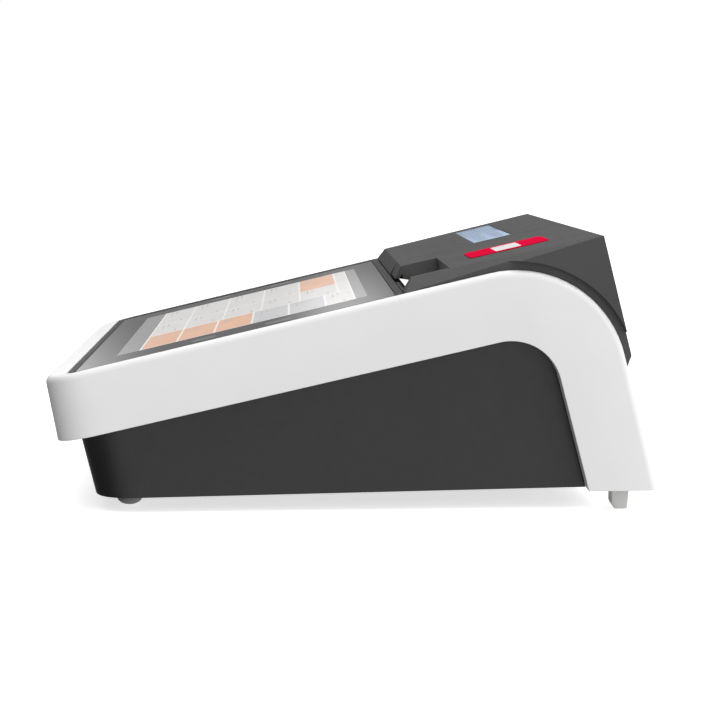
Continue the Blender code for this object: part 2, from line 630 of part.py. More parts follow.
def make_lid(paint, red, steel, rubber, nylon):
    skin = HOUSING_SKIN
    lid = profile("paper_lid", [
        (158.4 * MM, -0.5 * MM), (160.8 * MM, -0.5 * MM), (163.8 * MM, top_surface(163.8 * MM) - skin),
        (247.6 * MM, top_surface(247.6 * MM) - skin), (248.1 * MM, -8.3 * MM), (250.6 * MM, -8.3 * MM),
        HOUSING_REAR_TOP, HOUSING_FRONT_TOP
    ], LID_LEFT, LID_RIGHT_REAR, paint=paint)
    set_origin(lid, (0, *HINGE))
    pocket = prism("pocket_cut", [
        (POCKET_LEFT, 150 * MM), (120 * MM, 150 * MM), (120 * MM, 262 * MM),
        (LID_RIGHT_REAR, HOUSING_REAR_TOP[0]),
        (LID_RIGHT, LID_FRONT), (POCKET_LEFT, LID_FRONT)
    ], -20 * MM, 20 * MM, "XY", parent=DECK, cutter=True)
    combine(lid, pocket)
    top = 4.0 * MM
    pieces = [
        box("lid_front_wall", (31 * MM, LID_RIGHT), (LID_FRONT, LID_FRONT + 2 * MM), (-4.5 * MM, top),
            cutter=True, parent=DECK),
        box("lid_pocket_wall", (31 * MM, POCKET_LEFT), (162.5 * MM, LID_FRONT + 2 * MM), (-4.5 * MM, top),
            cutter=True, parent=DECK),
        bar("lid_barrel", 3 * MM, (5 * MM, 108.5 * MM), HINGE, 24, cutter=True, parent=DECK),
        box("lid_barrel_web", (5 * MM, 108.5 * MM), (HINGE[0] - 1.5 * MM, HINGE[0] + 1.5 * MM),
            (HINGE[1] + 1.6 * MM, top), cutter=True, parent=DECK),
    ]
    for low, high in ((31.6 * MM, 34.2 * MM), (94.8 * MM, 97.4 * MM)):
        pieces.append(profile(f"platen_ear_{round(low / MM)}", rounded([
            (184 * MM, top), (184 * MM, -10.8 * MM, 3 * MM), (192 * MM, -10.8 * MM, 3 * MM), (192 * MM, top)
        ], radians(20)), low, high, cutter=True))
    for piece in pieces:
        combine(lid, piece, "UNION")
    for name, radius, x, centre in (
        ("barrel_bore_cut", PIN_RADIUS, (0.0, 115 * MM), HINGE),
        ("platen_bore_cut", SHAFT_RADIUS, (28 * MM, 99 * MM), PLATEN)
    ):
        combine(lid, bar(name, radius + BORE_CLEAR, x, centre, cutter=True, parent=DECK))
    make_badge(red, lid)
    bar("lid_hinge_pin", PIN_RADIUS, (1.2 * MM, 111 * MM), HINGE, paint=steel, parent=DECK)
    make_platen(rubber, steel, nylon)


def make_badge(paint, lid):
    """A flat label with round corners, on the lid's slightly flatter top."""
    half_x, half_u, corner = BADGE_HALF
    outline = rounded([
        (-half_x, -half_u, corner), (half_x, -half_u, corner), (half_x, half_u, corner),
        (-half_x, half_u, corner)
    ], radians(15))
    badge = prism("lid_badge", outline, 0.0, 0.3 * MM, "XY", paint=paint, parent=lid)
    x, middle = BADGE_MIDDLE
    badge.location = (x, middle - HINGE[0], top_surface(middle) + 0.05 * MM - HINGE[1])
    badge.rotation_euler = (atan2(HOUSING_REAR_TOP[1] - HOUSING_FRONT_TOP[1],
                                  HOUSING_REAR_TOP[0] - HOUSING_FRONT_TOP[0]), 0, 0)


def make_platen(rubber, steel, nylon):
    """Rubber roller on its shaft, which turns in the lid's ears, and the gear on the shaft's end."""
    half = PAPER_WIDTH / 2 + 0.2 * MM
    roller = bar("platen_roller", PLATEN_RADIUS, (PAPER_CENTRE - half, PAPER_CENTRE + half), (0, 0), 36,
                 paint=rubber)
    hub = bar("platen_hub_cut", SHAFT_RADIUS + 0.02 * MM, (30 * MM, 100 * MM), (0, 0), 24, cutter=True)
    shaft = bar("platen_shaft", SHAFT_RADIUS, (26.4 * MM, 98.6 * MM), (0, 0), 24, paint=steel)
    gear = make_gear("platen_gear", PLATEN_TEETH, IDLER_ANGLE, GEAR_FACE, nylon)
    bore = bar("platen_gear_bore_cut", SHAFT_RADIUS + 0.02 * MM, (20 * MM, 40 * MM), (0, 0), 24, cutter=True)
    combine(roller, hub)
    combine(gear, bore)
    for piece in (roller, hub, shaft, gear, bore):
        piece.parent = DECK
        piece.location = (0, *PLATEN)


# ---------------------------------------------------------------- gears

def gear_outline(teeth, phase):
    """Straight-flanked teeth; one tooth is centred on the phase angle."""
    pitch_radius = GEAR_MODULE * teeth / 2
    root, tip = pitch_radius - 1.2 * GEAR_MODULE, pitch_radius + 0.92 * GEAR_MODULE
    step = 2 * pi / teeth
    points = []
    for tooth in range(teeth):
        middle = phase + tooth * step
        for radius, part in ((root, -0.35), (tip, -0.1), (tip, 0.1), (root, 0.35)):
            points.append((radius * cos(middle + part * step), radius * sin(middle + part * step)))
    return points


def make_gear(name, teeth, phase, face, paint):
    return prism(name, gear_outline(teeth, phase), *face, "YZ", paint=paint)


def gear_distance(first, second):
    return GEAR_MODULE * (first + second) / 2


def polar(centre, radius, angle):
    return centre[0] + radius * cos(angle), centre[1] + radius * sin(angle)


def make_gear_train(nylon, steel, aluminium):
    idler_centre = polar(PLATEN, gear_distance(PLATEN_TEETH, IDLER_TEETH), IDLER_ANGLE)
    idler_phase = IDLER_ANGLE + pi + pi / IDLER_TEETH
    pinion_centre = polar(idler_centre, gear_distance(IDLER_TEETH, PINION_TEETH), PINION_ANGLE)
    off_tooth = PINION_ANGLE - idler_phase
    pinion_phase = PINION_ANGLE + pi + off_tooth * IDLER_TEETH / PINION_TEETH + pi / PINION_TEETH
    for name, teeth, phase, centre, bore in (
        ("idler_gear", IDLER_TEETH, idler_phase, idler_centre, 1.6 * MM),
        ("motor_pinion", PINION_TEETH, pinion_phase, pinion_centre, 1.0 * MM)
    ):
        gear = make_gear(name, teeth, phase, GEAR_FACE, nylon)
        hole = bar(f"{name}_bore_cut", bore, (20 * MM, 40 * MM), (0, 0), 20, cutter=True)
        combine(gear, hole)
        for piece in (gear, hole):
            piece.parent = DECK
            piece.location = (0, *centre)
    bar("idler_axle", 1.52 * MM, (26.6 * MM, 32.6 * MM), idler_centre, 20, paint=steel, parent=DECK)
    motor = bar("feed_motor", 10 * MM, (6 * MM, 24 * MM), pinion_centre, 32, paint=aluminium, parent=DECK)
    for reach, radius in ((25.4 * MM, 3.5 * MM), (30 * MM, 0.92 * MM)):
        step = bar(f"motor_boss_{round(reach / MM)}", radius, (20 * MM, reach), pinion_centre, 20,
                   cutter=True, parent=DECK)
        combine(motor, step, "UNION")


# ---------------------------------------------------------------- paper path

def make_paper_bay(paint):
    low, high = 32.9 * MM, 96.1 * MM
    bay = profile("paper_bay", rounded([
        (176 * MM, -12.6 * MM), (176 * MM, -38 * MM), (180 * MM, -41.0 * MM), (238 * MM, -51.5 * MM),
        (246.5 * MM, -42.0 * MM), (246.5 * MM, -10.6 * MM), (236 * MM, -10.6 * MM), (233 * MM, 0.8 * MM),
        (199 * MM, 0.8 * MM), (196 * MM, -12.6 * MM)
    ]), low, high, paint=paint)
    well = profile("roll_well_cut", rounded([
        (192.2 * MM, 10 * MM), (192.2 * MM, ROLL[1] - 26 * MM, 25.5 * MM),
        (244.2 * MM, ROLL[1] - 26 * MM, 25.5 * MM), (244.2 * MM, 10 * MM)
    ], radians(10)), low + 2 * MM, high - 2 * MM, cutter=True)
    head_room = profile("head_room_cut", [
        (177.8 * MM, 0.0), (177.8 * MM, -30 * MM), (190.8 * MM, -30 * MM), (190.8 * MM, -17.5 * MM),
        (198 * MM, -17.5 * MM), (198 * MM, 0.0)
    ], low + 2 * MM, high - 2 * MM, cutter=True)
    pivot = bar("head_pivot_cut", 1.06 * MM, (30 * MM, 99 * MM), HEAD_PIVOT, 16, cutter=True, parent=DECK)
    lug = profile("idler_lug", rounded([
        (183.6 * MM, -26 * MM, 3 * MM), (192.4 * MM, -26 * MM, 3 * MM), (192.4 * MM, -17 * MM, 3 * MM),
        (183.6 * MM, -17 * MM, 3 * MM)
    ], radians(30)), 31.4 * MM, 34 * MM, cutter=True)
    combine(bay, lug, "UNION")
    for cutter in (well, head_room, pivot):
        combine(bay, cutter)
    idler_centre = polar(PLATEN, gear_distance(PLATEN_TEETH, IDLER_TEETH), IDLER_ANGLE)
    combine(bay, bar("idler_axle_cut", 1.6 * MM, (25 * MM, 32.8 * MM), idler_centre, 20,
                     cutter=True, parent=DECK))


def make_print_head(ceramic, steel):
    low, high = PAPER_CENTRE - 29.2 * MM, PAPER_CENTRE + 29.2 * MM
    head = profile("print_head", [
        (179.3 * MM, HEAD_TOP - 1.5 * MM), (189.8 * MM, HEAD_TOP - 1.5 * MM), (189.8 * MM, HEAD_TOP),
        (179.3 * MM, HEAD_TOP)
    ], low, high, paint=ceramic)
    bracket = profile("print_head_bracket", rounded([
        (179.3 * MM, HEAD_TOP - 1.52 * MM), (179.3 * MM, -22.3 * MM, 2 * MM), (183.7 * MM, -22.3 * MM, 2 * MM),
        (184.4 * MM, -17.5 * MM), (189.8 * MM, -17.0 * MM), (189.8 * MM, HEAD_TOP - 1.52 * MM)
    ], radians(30)), low, high, paint=steel)
    combine(bracket, bar("bracket_pivot_cut", 1.06 * MM, (30 * MM, 99 * MM), HEAD_PIVOT, 16,
                         cutter=True, parent=DECK))
    bar("head_pivot_pin", 1.0 * MM, (32.95 * MM, 96.05 * MM), HEAD_PIVOT, 16, paint=steel, parent=DECK)
    for piece in (head, bracket):
        set_origin(piece, (0, *HEAD_PIVOT))


def make_exit(paint, steel):
    """The pocket's sloping floor and the toothed bar that the receipt is torn against."""
    profile("paper_exit_tray", [
        (158.2 * MM, -3.6 * MM), (175.2 * MM, -10.3 * MM), (175.2 * MM, -8.3 * MM), (158.2 * MM, -1.6 * MM)
    ], POCKET_LEFT + 0.6 * MM, POCKET_RIGHT - 0.4 * MM, paint=paint)
    teeth = 24
    pitch = 60 * MM / teeth
    left = PAPER_CENTRE - 30 * MM
    edge = []
    for tooth in range(teeth):
        edge += [(left + tooth * pitch, 3.2 * MM), (left + (tooth + 0.5) * pitch, 4.0 * MM)]
    edge.append((left + 60 * MM, 3.2 * MM))
    bar_plate = prism("tear_bar", [*edge, (left + 60 * MM, -4 * MM), (left, -4 * MM)], 0.0, 0.5 * MM, "XY",
                      paint=steel, parent=DECK)
    bar_plate.location = (0, 171.6 * MM, -6.5 * MM)
    bar_plate.rotation_euler = (-atan2(6.7, 17.0), 0, 0)


def make_paper(paper, card):
    route = [
        (193.75, -23), (193.75, -19), (192.6, -14.8), (190.2, -12.6), (187, -12.35), (184.2, -11.0),
        (181, -8.3), (176.5, -6.6), (170, -4.1), (160.3, -0.35)
    ]
    half = PAPER_WIDTH / 2 - 0.25 * MM
    bm = bmesh.new()
    edges = (PAPER_CENTRE - half, PAPER_CENTRE + half)
    rows = [[bm.verts.new((x, u * MM, n * MM)) for x in edges] for u, n in route]
    for (left, right), (next_left, next_right) in zip(rows, rows[1:]):
        bm.faces.new((left, right, next_right, next_left))
    web = add("receipt_paper", mesh_from(bm, "receipt_paper"), paper, DECK)
    thickness = web.modifiers.new("thickness", "SOLIDIFY")
    thickness.thickness = 0.15 * MM
    thickness.offset = 0
    thickness.use_even_offset = True
    ends = (PAPER_CENTRE - PAPER_WIDTH / 2, PAPER_CENTRE + PAPER_WIDTH / 2)
    roll = bar("paper_roll", ROLL_RADIUS, ends, (0, 0), 48, paint=paper)
    core_hole = bar("paper_roll_cut", CORE_RADIUS, (20 * MM, 110 * MM), (0, 0), 32, cutter=True)
    core = bar("roll_core", CORE_RADIUS - 0.05 * MM, ends, (0, 0), 32, paint=card)
    bore = bar("roll_core_cut", CORE_RADIUS - 1.5 * MM, (20 * MM, 110 * MM), (0, 0), 32, cutter=True)
    combine(roll, core_hole)
    combine(core, bore)
    for piece in (roll, core_hole, core, bore):
        piece.parent = DECK
        piece.location = (0, *ROLL)


# ---------------------------------------------------------------- customer display

def make_customer_display(tint, black, green):
    middle = 214.8 * MM
    slope = atan2(HOUSING_REAR_TOP[1] - HOUSING_FRONT_TOP[1], HOUSING_REAR_TOP[0] - HOUSING_FRONT_TOP[0])
    window = box("customer_display_window", (-48 * MM, 48 * MM), (-10.0 * MM, 10.0 * MM),
                 (-2.0 * MM, -0.2 * MM), 0.2 * MM, paint=tint, parent=DECK)
    module = box("customer_display_module", (-48.5 * MM, 47.5 * MM), (-13 * MM, 13 * MM),
                 (-9.2 * MM, -3.1 * MM), 0.4 * MM, paint=black, parent=DECK)
    board = box("customer_display_board", (-48.5 * MM, 47.5 * MM), (-17 * MM, 17 * MM),
                (-11.1 * MM, -9.5 * MM), paint=green, parent=DECK)
    for piece in (window, module, board):
        piece.location = (-50.5 * MM, middle, top_surface(middle))
        piece.rotation_euler = (slope, 0, 0)


# ---------------------------------------------------------------- the whole machine

def build():
    global PARTS, CUTTERS, DECK
    clear_scene()
    PARTS, CUTTERS = new_collection("cash_register"), new_collection("cutters")
    DECK = bpy.data.objects.new("deck_plane", None)
    PARTS.objects.link(DECK)
    DECK.location = (0, DECK_FRONT_Y, DECK_FRONT_Z)
    DECK.rotation_euler = (DECK_SLOPE, 0, 0)

    white = material("white_plastic", (0.80, 0.80, 0.80), 0.35)
    dark = material("dark_plastic", (0.045, 0.045, 0.045), 0.5)
    housing = material("housing_plastic", (0.075, 0.075, 0.072), 0.5)
    grey = material("bezel_plastic", (0.11, 0.11, 0.11), 0.45)
    glass = material("screen_glass", (0.30, 0.30, 0.31), 0.1)
    black = material("black_plastic", (0.02, 0.02, 0.02), 0.4)
    steel = material("steel", (0.55, 0.55, 0.56), 0.3, metallic=1.0)
    aluminium = material("aluminium", (0.70, 0.70, 0.71), 0.35, metallic=1.0)
    board = material("circuit_board", (0.02, 0.16, 0.06), 0.5)
    rubber = material("rubber", (0.15, 0.15, 0.15), 0.8)
    foot_grey = material("foot_plastic", (0.55, 0.55, 0.54), 0.5)
    nylon = material("gear_nylon", (0.75, 0.73, 0.68), 0.45)
    paper = material("paper", (0.85, 0.85, 0.83), 0.9)
    card = material("card", (0.45, 0.33, 0.20), 0.9)
    red = material("red_label", (0.79, 0.004, 0.04), 0.3)
    window = material("display_window", (0.42, 0.50, 0.62), 0.15, transmission=0.3)
    ceramic = material("head_ceramic", (0.72, 0.70, 0.66), 0.3)

    make_frame(white)
    make_casing(dark)
    make_bottom_cover(dark, steel)
    make_feet(rubber, foot_grey)
    make_screen(grey, glass, black, steel)
    make_boards(board, aluminium, black)
    make_ports(black, steel)
    make_switch(black)
    make_housing(housing)
    make_lid(housing, red, steel, rubber, nylon)
    make_gear_train(nylon, steel, aluminium)
    make_paper_bay(black)
    make_print_head(ceramic, aluminium)
    make_exit(housing, steel)
    make_paper(paper, card)
    make_customer_display(window, black, board)


build()
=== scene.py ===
"""Looks of the cash register: materials, the lit screen picture, small trims, studio light and the camera.

Metres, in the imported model's frame. Places on the screen and the housing are given in the plane of the
sloping deck: x across, u up the slope from the screen's front edge, n square to the deck.
"""

from math import atan2, cos, radians, sin

import bmesh
import bpy
from mathutils import Matrix, Vector


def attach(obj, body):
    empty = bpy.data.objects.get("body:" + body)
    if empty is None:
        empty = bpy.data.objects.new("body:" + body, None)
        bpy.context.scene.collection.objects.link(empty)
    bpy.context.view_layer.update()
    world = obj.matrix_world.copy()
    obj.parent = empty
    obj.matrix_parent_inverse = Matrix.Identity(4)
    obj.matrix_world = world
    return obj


MM = 0.001
DECK_FRONT = Vector((0.0, -129.6 * MM, 65.1 * MM))
DECK_SLOPE = radians(13.27)
DECK = Matrix.Translation(DECK_FRONT) @ Matrix.Rotation(DECK_SLOPE, 4, "X")

GLASS_TOP = -0.4 * MM
LAYER = 0.02 * MM  # between printed or lit layers

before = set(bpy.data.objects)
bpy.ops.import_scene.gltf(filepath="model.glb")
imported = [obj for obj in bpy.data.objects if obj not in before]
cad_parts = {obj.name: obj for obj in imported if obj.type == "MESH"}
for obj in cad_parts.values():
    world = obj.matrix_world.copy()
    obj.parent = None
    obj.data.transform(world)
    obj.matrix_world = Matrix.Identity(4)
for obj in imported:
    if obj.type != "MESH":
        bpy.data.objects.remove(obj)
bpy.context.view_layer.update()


# ---------------------------------------------------------------- material nodes

def start_material(name):
    made = bpy.data.materials.new(name)
    made.use_nodes = True
    return made, made.node_tree, made.node_tree.nodes["Principled BSDF"]


def noise(tree, size, detail=3.0, stretch=(1, 1, 1)):
    """Noise whose features are about size metres across, stretched along an axis by a number below 1."""
    place = tree.nodes.new("ShaderNodeTexCoord")
    scale = tree.nodes.new("ShaderNodeMapping")
    scale.inputs["Scale"].default_value = stretch
    made = tree.nodes.new("ShaderNodeTexNoise")
    made.inputs["Scale"].default_value = 1 / size
    made.inputs["Detail"].default_value = detail
    tree.links.new(place.outputs["Object"], scale.inputs["Vector"])
    tree.links.new(scale.outputs["Vector"], made.inputs["Vector"])
    return made.outputs[0]


def spread(tree, value, low, high):
    """The noise value carried to the range from low to high."""
    made = tree.nodes.new("ShaderNodeMapRange")
    made.inputs["From Min"].default_value = 0.3
    made.inputs["From Max"].default_value = 0.7
    made.inputs["To Min"].default_value = low
    made.inputs["To Max"].default_value = high
    tree.links.new(value, made.inputs["Value"])
    return made.outputs["Result"]


def tint(tree, value, colour, change):
    """The colour, made darker and lighter by the share change as the value goes from 0.3 to 0.7."""
    made = tree.nodes.new("ShaderNodeValToRGB")
    first, last = made.color_ramp.elements
    first.position, last.position = 0.3, 0.7
    first.color = (*(max(0.0, part * (1 - change)) for part in colour), 1)
    last.color = (*(min(1.0, part * (1 + change)) for part in colour), 1)
    tree.links.new(value, made.inputs["Fac"])
    return made.outputs["Color"]


def bump(tree, shader, value, depth, strength=1.0, edge=0.0):
    """Surface relief of that depth, on edges eased to the radius edge."""
    made = tree.nodes.new("ShaderNodeBump")
    made.inputs["Strength"].default_value = strength
    made.inputs["Distance"].default_value = depth
    tree.links.new(value, made.inputs["Height"])
    if edge:
        eased = tree.nodes.new("ShaderNodeBevel")
        eased.samples = 4
        eased.inputs["Radius"].default_value = edge
        tree.links.new(eased.outputs["Normal"], made.inputs["Normal"])
    tree.links.new(made.outputs["Normal"], shader.inputs["Normal"])


def moulded(name, colour, roughness, grain=0.35 * MM, depth=0.012 * MM, change=0.04, specular=0.5,
            edge=0.35 * MM):
    """Moulded plastic: a cast grain, faint clouds in its colour and gloss, and eased edges."""
    made, tree, shader = start_material(name)
    clouds = noise(tree, 22 * MM, 4)
    tree.links.new(tint(tree, clouds, colour, change), shader.inputs["Base Color"])
    tree.links.new(spread(tree, noise(tree, 5 * MM, 4), roughness - 0.04, roughness + 0.05),
                   shader.inputs["Roughness"])
    shader.inputs["Specular IOR Level"].default_value = specular
    bump(tree, shader, noise(tree, grain, 2), depth, 0.6, edge)
    return made


def brushed(name, colour, roughness, stretch, size=0.5 * MM):
    """Metal with fine marks along one axis."""
    made, tree, shader = start_material(name)
    marks = noise(tree, size, 4, stretch)
    tree.links.new(tint(tree, marks, colour, 0.12), shader.inputs["Base Color"])
    tree.links.new(spread(tree, marks, roughness - 0.07, roughness + 0.1), shader.inputs["Roughness"])
    shader.inputs["Metallic"].default_value = 1.0
    bump(tree, shader, marks, 0.006 * MM, 0.5, 0.2 * MM)
    return made


def fibrous(name, colour, size, depth):
    """Paper, card or other fibrous stock."""
    made, tree, shader = start_material(name)
    fibres = noise(tree, size, 6, (1, 0.35, 1))
    tree.links.new(tint(tree, fibres, colour, 0.06), shader.inputs["Base Color"])
    shader.inputs["Roughness"].default_value = 0.85
    shader.inputs["Specular IOR Level"].default_value = 0.2
    bump(tree, shader, fibres, depth, 0.6)
    return made


def glassy(name, colour, roughness=0.06, specular=0.5, glow=None, change=0.03):
    """A polished flat surface with faint wiping marks in its gloss; glow adds a lit picture's own light."""
    made, tree, shader = start_material(name)
    smears = noise(tree, 9 * MM, 5, (0.4, 1, 1))
    tree.links.new(tint(tree, smears, colour, change), shader.inputs["Base Color"])
    tree.links.new(spread(tree, smears, roughness, roughness + 0.05), shader.inputs["Roughness"])
    shader.inputs["Specular IOR Level"].default_value = specular
    if glow:
        shader.inputs["Emission Color"].default_value = (*colour, 1)
        shader.inputs["Emission Strength"].default_value = glow
    return made


def circuit(name):
    """Green solder mask with a fine relief of tracks."""
    made, tree, shader = start_material(name)
    place = tree.nodes.new("ShaderNodeTexCoord")
    tracks = tree.nodes.new("ShaderNodeTexBrick")
    tracks.inputs["Scale"].default_value = 160
    tracks.inputs["Color1"].default_value = (0.010, 0.100, 0.035, 1)
    tracks.inputs["Color2"].default_value = (0.014, 0.130, 0.045, 1)
    tracks.inputs["Mortar"].default_value = (0.030, 0.220, 0.080, 1)
    tracks.inputs["Mortar Size"].default_value = 0.04
    tree.links.new(place.outputs["Object"], tracks.inputs["Vector"])
    tree.links.new(tracks.outputs["Color"], shader.inputs["Base Color"])
    shader.inputs["Roughness"].default_value = 0.35
    bump(tree, shader, tracks.outputs["Fac"], 0.03 * MM, 0.5)
    return made


# ---------------------------------------------------------------- shading of curved walls

def rounded_shading(angle=radians(24), near=2e-6):
    """A modifier's node group: joins neighbouring facets' corners and shades gentle turns as one curve."""
    group = bpy.data.node_groups.new("rounded shading", "GeometryNodeTree")
    group.interface.new_socket("Geometry", in_out="INPUT", socket_type="NodeSocketGeometry")
    group.interface.new_socket("Geometry", in_out="OUTPUT", socket_type="NodeSocketGeometry")
    enter, leave = group.nodes.new("NodeGroupInput"), group.nodes.new("NodeGroupOutput")
    forget = group.nodes.new("GeometryNodeRemoveAttribute")
    forget.inputs["Name"].default_value = "custom_normal"
    join = group.nodes.new("GeometryNodeMergeByDistance")
    join.inputs["Distance"].default_value = near
    smooth, sharp = (group.nodes.new("GeometryNodeSetShadeSmooth") for _ in range(2))
    smooth.domain, sharp.domain = "FACE", "EDGE"
    smooth.inputs["Shade Smooth"].default_value = True
    sharp.inputs["Shade Smooth"].default_value = False
    turn = group.nodes.new("GeometryNodeInputMeshEdgeAngle")
    steep = group.nodes.new("FunctionNodeCompare")
    steep.operation = "GREATER_THAN"
    steep.inputs["B"].default_value = angle
    group.links.new(turn.outputs["Unsigned Angle"], steep.inputs["A"])
    group.links.new(steep.outputs["Result"], sharp.inputs["Selection"])
    for first, second in ((enter, forget), (forget, join), (join, smooth), (smooth, sharp), (sharp, leave)):
        group.links.new(first.outputs[0], second.inputs[0])
    return group


ROUNDED = rounded_shading()


# ---------------------------------------------------------------- materials by node

WHITE = moulded("white satin", (0.82, 0.82, 0.82), 0.38, 0.5 * MM, 0.004 * MM, 0.012, 0.06, 0.5 * MM)
DARK = moulded("dark textured", (0.012, 0.012, 0.0125), 0.42, 0.45 * MM, 0.012 * MM, 0.06, 0.5, 0.5 * MM)
HOUSING = moulded("housing textured", (0.082, 0.082, 0.082), 0.52, 0.4 * MM, 0.007 * MM, 0.04, 0.06, 0.5 * MM)
BEZEL = moulded("bezel satin", (0.034, 0.034, 0.035), 0.46, 0.35 * MM, 0.012 * MM, 0.06, 0.25, 0.3 * MM)
BLACK = moulded("black plastic", (0.012, 0.012, 0.012), 0.45, 0.3 * MM, 0.015 * MM, 0.10, 0.4, 0.25 * MM)
RUBBER = moulded("rubber", (0.13, 0.13, 0.13), 0.78, 0.25 * MM, 0.03 * MM, 0.12, 0.3, 0.4 * MM)
FOOT = moulded("foot grey", (0.56, 0.56, 0.55), 0.55, 0.3 * MM, 0.02 * MM, 0.05, 0.4, 0.4 * MM)
NYLON = moulded("gear nylon", (0.72, 0.70, 0.64), 0.42, 0.3 * MM, 0.01 * MM, 0.04, 0.5, 0.15 * MM)
CERAMIC = moulded("head ceramic", (0.68, 0.66, 0.62), 0.28, 0.2 * MM, 0.004 * MM, 0.04, 0.5, 0.15 * MM)
STEEL = brushed("steel", (0.55, 0.55, 0.56), 0.30, (0.06, 1, 1))
ALUMINIUM = brushed("aluminium", (0.72, 0.72, 0.73), 0.34, (1, 0.06, 1))
PAPER = fibrous("paper", (0.84, 0.84, 0.82), 0.35 * MM, 0.012 * MM)
CARD = fibrous("card", (0.42, 0.30, 0.18), 0.5 * MM, 0.03 * MM)
BOARD = circuit("circuit board")
GLASS = glassy("screen glass", (0.050, 0.050, 0.052), 0.05, 0.7)
PANEL = glassy("display panel", (0.015, 0.016, 0.018), 0.25)
RED = moulded("red label", (0.60, 0.005, 0.038), 0.5, 0.6 * MM, 0.002 * MM, 0.02, 0.0, 0.0)
LABEL_WHITE = moulded("label white", (0.80, 0.78, 0.79), 0.32, 0.6 * MM, 0.002 * MM, 0.02, 0.5, 0.0)
WINDOW = glassy("display window", (0.32, 0.42, 0.57), 0.10, 0.4, 0.25, 0.05)

PAINT = {
    "side_frame": WHITE, "base_casing": DARK, "bottom_cover": DARK, "front_foot_left": RUBBER,
    "front_foot_right": RUBBER, "rear_foot_left": FOOT, "rear_foot_right": FOOT, "screen_bezel": BEZEL,
    "touch_glass": GLASS, "lcd_panel": PANEL, "display_bracket": STEEL, "main_board": BOARD,
    "processor_heatsink": ALUMINIUM, "speaker": BLACK, "dc_inlet": BLACK, "usb_port": STEEL, "lan_port": STEEL,
    "drawer_port": BLACK, "switch_housing": BLACK, "power_rocker": BLACK, "printer_housing": HOUSING,
    "paper_lid": HOUSING, "lid_badge": RED, "lid_hinge_pin": STEEL, "paper_bay": BLACK, "paper_roll": PAPER,
    "roll_core": CARD, "receipt_paper": PAPER, "platen_roller": RUBBER, "platen_shaft": STEEL,
    "platen_gear": NYLON, "idler_gear": NYLON, "motor_pinion": NYLON, "idler_axle": STEEL,
    "feed_motor": ALUMINIUM, "print_head": CERAMIC, "print_head_bracket": ALUMINIUM, "head_pivot_pin": STEEL,
    "paper_exit_tray": HOUSING, "tear_bar": STEEL, "customer_display_window": WINDOW,
    "customer_display_module": BLACK, "customer_display_board": BOARD,
    **{f"cover_screw_{number}": STEEL for number in (1, 2, 3, 4)},
}
for node_name, paint in PAINT.items():
    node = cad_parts[node_name]
    node.data.materials.clear()
    node.data.materials.append(paint)
    modifier = node.modifiers.new("rounded shading", "NODES")
    modifier.node_group = ROUNDED


# ---------------------------------------------------------------- flat printed and lit shapes

def rounded_rectangle(x, u, radius, steps=4):
    """Corner points, in order, of a rectangle between (low, high) limits with round corners."""
    points = []
    for centre_x, centre_u, turn in (
        (x[0] + radius, u[0] + radius, 180), (x[1] - radius, u[0] + radius, 270),
        (x[1] - radius, u[1] - radius, 0), (x[0] + radius, u[1] - radius, 90)
    ):
        for step in range(steps + 1):
            angle = radians(turn + 90 * step / steps)
            points.append((centre_x + radius * cos(angle), centre_u + radius * sin(angle)))
    return points


def flat_piece(name, shapes, height, paint, body, place=DECK):
    """One piece of flat rounded shapes, each (x limits, u limits, radius) in millimetres, facing up."""
    bm = bmesh.new()
    for x, u, radius in shapes:
        corners = rounded_rectangle([value * MM for value in x], [value * MM for value in u], radius * MM)
        bm.faces.new([bm.verts.new(place @ Vector((across, along, height))) for across, along in corners])
    mesh = bpy.data.meshes.new(name)
    bm.to_mesh(mesh)
    bm.free()
    mesh.materials.append(paint)
    obj = bpy.data.objects.new(name, mesh)
    bpy.context.scene.collection.objects.link(obj)
    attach(obj, body)
    return obj


PICTURE_WHITE = glassy("picture white", (0.60, 0.59, 0.58), 0.05, 0.1, 0.36, 0.02)
PICTURE_GAP = glassy("picture bright gap", (0.70, 0.70, 0.70), 0.05, 0.1, 0.36, 0.01)
PICTURE_ORANGE = glassy("picture orange", (0.65, 0.39, 0.27), 0.05, 0.1, 0.36, 0.05)
PICTURE_GREY = glassy("picture grey", (0.49, 0.49, 0.50), 0.05, 0.1, 0.36, 0.03)
PICTURE_STRIP = glassy("picture strip", (0.25, 0.25, 0.255), 0.05, 0.1, 0.36, 0.03)
PICTURE_LINE = glassy("picture line", (0.42, 0.41, 0.41), 0.05, 0.1, 0.36, 0.04)
SENSOR = glassy("sensor window", (0.19, 0.20, 0.195), 0.08, 0.5, None, 0.06)

# The picture's layout, in millimetres in the deck's plane.
ACTIVE_X, ACTIVE_U = (-81.0, 81.0), (20.3, 141.8)
STRIP_REAR, STRIP_FRONT, STRIP_GAP = 136.3, 31.2, 0.1
PICTURE_RADIUS, TILE_RADIUS = 0.3, 0.8
NEAR_ROWS = (31.8, 49.4, 67.4, 85.6, 103.6, 121.8, 136.0)
WIDE_ROWS = (31.8, 49.4, 69.4, 89.4, 109.4, 129.4, 136.0)
NEAR_X, MIDDLE_X, FAR_X = (30.6, 80.4), (-15.6, 29.4), (-80.4, -16.8)
TILE_GAP = 0.5  # at each end of a tile
SHORTEST_LINED = 10  # shorter tiles carry no lines
LINE_MARGIN = 4
# Two title lines: from and to, behind the tile's front, and their share of its width.
TITLE_LINES = ((3.4, 4.0, 0.34), (6.0, 6.6, 0.22))
# One price line: from and to, before the tile's rear, and its length.
PRICE_LINE = (-5.2, -4.4, 7)
SENSOR_X, SENSOR_U = (92.5, 100.0), ((57.5, 69.0), (92.5, 105.0))


def tile(x, rows, number):
    return x, (rows[number] + TILE_GAP, rows[number + 1] - TILE_GAP), TILE_RADIUS


